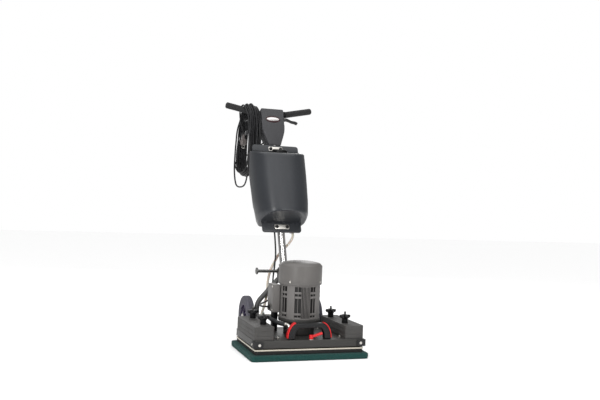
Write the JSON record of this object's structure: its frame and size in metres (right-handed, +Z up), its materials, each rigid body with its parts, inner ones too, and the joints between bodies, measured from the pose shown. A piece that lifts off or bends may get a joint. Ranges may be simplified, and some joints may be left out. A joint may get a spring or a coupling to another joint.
{
  "type": "orbital floor scrubber",
  "caption": "Upright orbital floor scrubber: rectangular pad deck with weights and motor, leaning pole with solution tank, switch box, bar grips, wheels and cord.",
  "frame": {"origin": "centre of the cleaning pad's underside, on the floor", "axes": "+Z up, -Y towards the machine's front, +Y towards the operator, +X to the left of the operator who faces the machine's front"},
  "size_m": [0.548, 0.9492, 1.233],
  "materials": {
    "grey_paint": "satin grey paint",
    "motor_paint": "satin warm grey paint",
    "cast_weight": "painted casting, slightly rough",
    "steel": "bright zinc",
    "chrome": "polished",
    "copper": "laminations and varnished copper windings",
    "bronze": "machined",
    "black_plastic": "moulded",
    "black_rubber": "matt",
    "red_plastic": "moulded",
    "tyre_grey": "matt",
    "hub_purple": "moulded",
    "pad_green": "non-woven fibre",
    "tank_grey": "fine-grained rotomoulding",
    "box_grey": "fine-grained moulding",
    "clear_hose": "translucent",
    "plug_grey": "moulded"
  },
  "bodies": {
    "base": {"chassis": "grey_paint", "drive_housing": "grey_paint", "motor_body": "motor_paint", "stator": "copper", "fan_cowl": "motor_paint", "terminal_box": "motor_paint", "weight_left_lower": "cast_weight", "weight_left_upper": "cast_weight", "weight_right_lower": "cast_weight", "weight_right_upper": "cast_weight", "lift_handle": "black_plastic", "lift_handle_trim_left": "red_plastic", "lift_handle_trim_right": "red_plastic", "bumper_left": "black_rubber", "bumper_right": "black_rubber", "yoke_head": "grey_paint", "yoke_left_leg": "grey_paint", "yoke_right_leg": "grey_paint", "axle": "steel", "pivot_pin": "steel", "isolator_left": "black_rubber", "isolator_right": "black_rubber", "feed_hose": "black_rubber", "feed_elbow": "steel", "motor_cable": "black_rubber", "solution_hose": "clear_hose"},
    "driver_carrier": {"eccentric_bearing": "bronze"},
    "driver": {"driver_plate": "steel", "pad_grip": "black_rubber", "pad": "pad_green"},
    "motor_rotor": {"rotor": "steel", "eccentric": "steel", "cooling_fan": "black_plastic"},
    "clamp": {"clamp_lever": "red_plastic"},
    "knob_fl": {"knob_front_left": "black_plastic"},
    "knob_rl": {"knob_rear_left": "black_plastic"},
    "knob_fr": {"knob_front_right": "black_plastic"},
    "knob_rr": {"knob_rear_right": "black_plastic"},
    "pedal": {"release_pedal": "steel"},
    "wheel_left": {"hub_left": "hub_purple", "tyre_left": "tyre_grey"},
    "wheel_right": {"hub_right": "hub_purple", "tyre_right": "tyre_grey"},
    "handle": {"pole": "chrome", "tank": "tank_grey", "tank_clamp_top": "steel", "tank_clamp_bottom": "steel", "handle_bar": "black_plastic", "grip_left": "black_rubber", "grip_right": "black_rubber", "switch_box": "box_grey", "switch_box_cover": "box_grey", "cord_gland": "black_plastic", "cord_lead": "black_rubber", "cord_hank": "black_rubber", "plug": "plug_grey"},
    "cap": {"tank_cap": "black_plastic"},
    "left_trigger": {"trigger_left": "black_plastic"},
    "right_trigger": {"trigger_right": "black_plastic"},
    "button": {"lock_button": "black_plastic"}
  },
  "joints": [
    {"name": "handle_tilt", "type": "hinge", "parent": "base", "child": "handle", "pos_m": [0, 0.258, 0.35], "axis": [-1, 0, 0], "range_deg": [-22, 38], "deforming": ["motor_cable", "solution_hose"]},
    {"name": "wheel_left_spin", "type": "hinge", "parent": "base", "child": "wheel_left", "pos_m": [-0.175, 0.3, 0.125], "axis": [1, 0, 0], "continuous": true},
    {"name": "wheel_right_spin", "type": "hinge", "parent": "base", "child": "wheel_right", "pos_m": [0.175, 0.3, 0.125], "axis": [1, 0, 0], "continuous": true},
    {"name": "orbit_across", "type": "slide", "parent": "base", "child": "driver_carrier", "axis": [1, 0, 0], "range_m": [-0.003, 0.003], "stiffness_N_per_m": 2500},
    {"name": "orbit_along", "type": "slide", "parent": "driver_carrier", "child": "driver", "axis": [0, 1, 0], "range_m": [-0.003, 0.003], "stiffness_N_per_m": 2500},
    {"name": "motor_spin", "type": "hinge", "parent": "base", "child": "motor_rotor", "pos_m": [0, 0, 0.2], "axis": [0, 0, 1], "continuous": true},
    {"name": "clamp_lever_turn", "type": "hinge", "parent": "base", "child": "clamp", "pos_m": [0.006, -0.163, 0.096], "axis": [0, 0, -1], "range_deg": [0, 90]},
    {"name": "pedal_press", "type": "hinge", "parent": "base", "child": "pedal", "pos_m": [-0.036, 0.224, 0.336], "axis": [-1, 0, 0], "range_deg": [0, 12], "stiffness_Nm_per_rad": 6, "springref_deg": -8.59},
    {"name": "knob_front_left_turn", "type": "hinge", "parent": "base", "child": "knob_fl", "pos_m": [-0.195, -0.085, 0.16], "axis": [0, 0, 1], "continuous": true},
    {"name": "knob_rear_left_turn", "type": "hinge", "parent": "base", "child": "knob_rl", "pos_m": [-0.195, 0.1, 0.16], "axis": [0, 0, 1], "continuous": true},
    {"name": "knob_front_right_turn", "type": "hinge", "parent": "base", "child": "knob_fr", "pos_m": [0.195, -0.085, 0.16], "axis": [0, 0, 1], "continuous": true},
    {"name": "knob_rear_right_turn", "type": "hinge", "parent": "base", "child": "knob_rr", "pos_m": [0.195, 0.1, 0.16], "axis": [0, 0, 1], "continuous": true},
    {"name": "tank_cap_lift", "type": "slide", "parent": "handle", "child": "cap", "axis": [0, -0.087, 0.9962], "range_m": [0, 0.06]},
    {"name": "trigger_right_pull", "type": "hinge", "parent": "handle", "child": "right_trigger", "pos_m": [0.078, 0.60284, 1.14888], "axis": [0, -0.9248, 0.3804], "range_deg": [0, 10], "stiffness_Nm_per_rad": 0.6, "springref_deg": -11.46},
    {"name": "trigger_left_pull", "type": "hinge", "parent": "handle", "child": "left_trigger", "pos_m": [-0.078, 0.60284, 1.14888], "axis": [0, 0.9248, -0.3804], "range_deg": [0, 10], "stiffness_Nm_per_rad": 0.6, "springref_deg": -11.46},
    {"name": "lock_button_press", "type": "slide", "parent": "handle", "child": "button", "axis": [-1, 0, 0], "range_m": [0, 0.006], "stiffness_N_per_m": 600, "springref_m": -0.003}
  ]
}
